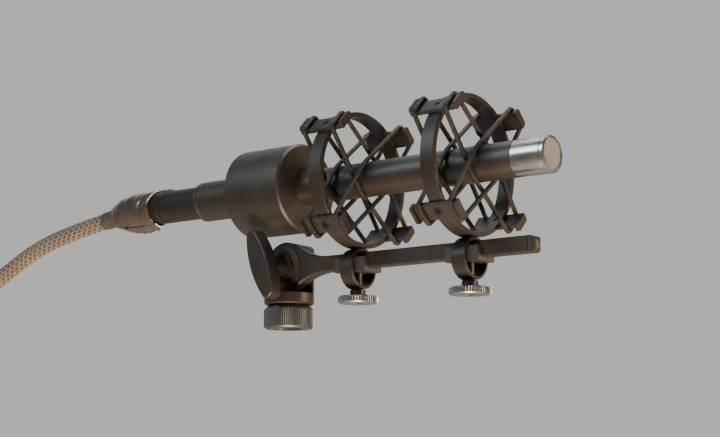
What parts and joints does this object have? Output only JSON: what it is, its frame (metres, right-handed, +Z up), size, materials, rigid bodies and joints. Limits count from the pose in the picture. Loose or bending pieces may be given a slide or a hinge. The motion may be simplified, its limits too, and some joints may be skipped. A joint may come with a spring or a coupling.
{
  "type": "ribbon microphone",
  "caption": "End-address ribbon microphone in elastic suspension rings on a support bar, with a friction swivel, a stand thread and a plugged-in braided cable.",
  "frame": {"origin": "middle of the mouth of the stand thread, on the stand's axis", "axes": "+X the way the microphone faces, +Z up along the stand, +Y to its left"},
  "size_m": [0.5919, 0.074, 0.329],
  "materials": {
    "matte_black": "smooth matte anodised",
    "satin_black": "satin black coating",
    "black_screw": "blackened steel",
    "chrome": "polished",
    "knurled_steel": "fine knurl",
    "grille_mesh": "fine woven mesh",
    "wind_cloth": "fine silk",
    "grey_block": "bead blasted",
    "black_plastic": "moulded",
    "gold_contact": "gold plated",
    "elastic_cord": "round elastic with a faint sheen",
    "soft_iron": "ground",
    "magnet": "nickel plated",
    "foil": "bright corrugated foil",
    "brass_clamp": "machined",
    "felt": "dense felt",
    "copper_winding": "enamelled copper",
    "plug_black": "satin black plating",
    "tape": "wound tape, worn",
    "cable_braid": "braided light and dark yarn",
    "hook_strap": "woven hook-and-loop strap"
  },
  "bodies": {
    "stand_ring": {"stand_ring": "satin_black", "snap_ring": "black_screw"},
    "swivel": {"swivel_base": "satin_black", "friction_washers": "black_plastic", "tilt_stud": "chrome"},
    "arm": {"support_bar": "satin_black", "bar_end_plug": "black_plastic"},
    "handle": {"tilt_handle": "satin_black"},
    "rear_mount": {"rear_hoop": "satin_black", "rear_clips": "satin_black", "rear_clip_screws": "black_screw", "rear_elastics": "elastic_cord", "rear_strap": "satin_black", "rear_hoop_rivet": "black_screw", "rear_slide_block": "grey_block"},
    "front_mount": {"front_hoop": "satin_black", "front_clips": "satin_black", "front_clip_screws": "black_screw", "front_elastics": "elastic_cord", "front_strap": "satin_black", "front_hoop_rivet": "black_screw", "front_slide_block": "grey_block"},
    "rear_thumbscrew": {"rear_thumb_knob": "knurled_steel", "rear_thumb_screw": "black_screw"},
    "front_thumbscrew": {"front_thumb_knob": "knurled_steel", "front_thumb_screw": "black_screw"},
    "microphone": {"xlr_barrel": "matte_black", "xlr_insert": "black_plastic", "xlr_pins": "gold_contact", "can_rear_cap": "matte_black", "can_shell": "matte_black", "body_tube": "matte_black", "head_shell": "chrome", "head_rim": "chrome", "head_mesh": "grille_mesh", "wind_screen": "wind_cloth", "motor_frame": "soft_iron", "magnets": "magnet", "pole_pieces": "soft_iron", "ribbon": "foil", "ribbon_clamps": "brass_clamp", "damping_pad": "felt", "transformer_shield": "soft_iron", "transformer_core": "soft_iron", "transformer_coil": "copper_winding", "lead_wires": "copper_winding"},
    "plug": {"plug_shell": "plug_black", "plug_insert": "black_plastic", "plug_contacts": "gold_contact", "tape_wrap": "tape", "heat_shrink": "black_plastic", "cord_lead": "cable_braid", "cord_coil": "cable_braid", "coil_tie": "hook_strap", "cord_tail": "cable_braid", "far_plug_boot": "black_plastic", "far_plug_shell": "plug_black", "far_plug_pins": "gold_contact"},
    "latch": {"plug_latch": "chrome"}
  },
  "joints": [
    {"name": "swivel_pan", "type": "hinge", "parent": "stand_ring", "child": "swivel", "pos_m": [0, 0, 0.011], "axis": [0, 0, 1], "continuous": true},
    {"name": "tilt", "type": "hinge", "parent": "swivel", "child": "arm", "pos_m": [0, 0, 0.0338], "axis": [0, 1, 0], "range_deg": [-75, 24]},
    {"name": "tilt_handle", "type": "hinge", "parent": "swivel", "child": "handle", "pos_m": [0, -0.02, 0.0338], "axis": [0, 1, 0], "continuous": true},
    {"name": "rear_mount_slide", "type": "slide", "parent": "arm", "child": "rear_mount", "axis": [1, 0, 0], "range_m": [-0.008, 0.014]},
    {"name": "front_mount_slide", "type": "slide", "parent": "arm", "child": "front_mount", "axis": [1, 0, 0], "range_m": [-0.018, 0.016]},
    {"name": "rear_thumbscrew_turn", "type": "hinge", "parent": "rear_mount", "child": "rear_thumbscrew", "pos_m": [0.0484, 0, 0.02], "axis": [0, 0, 1], "continuous": true},
    {"name": "front_thumbscrew_turn", "type": "hinge", "parent": "front_mount", "child": "front_thumbscrew", "pos_m": [0.1204, 0, 0.02], "axis": [0, 0, 1], "continuous": true},
    {"name": "mic_float", "type": "slide", "parent": "rear_mount", "child": "microphone", "axis": [0, 0, 1], "range_m": [-0.002, 0.002], "stiffness_N_per_m": 4000, "springref_m": 0.0018, "deforming": ["rear_elastics", "front_elastics"]},
    {"name": "plug_pull", "type": "slide", "parent": "microphone", "child": "plug", "axis": [-1, 0, 0], "range_m": [0, 0.018]},
    {"name": "latch_press", "type": "slide", "parent": "plug", "child": "latch", "axis": [0, 0, -1], "range_m": [0, 0.0015], "stiffness_N_per_m": 1500, "springref_m": -0.0006}
  ]
}
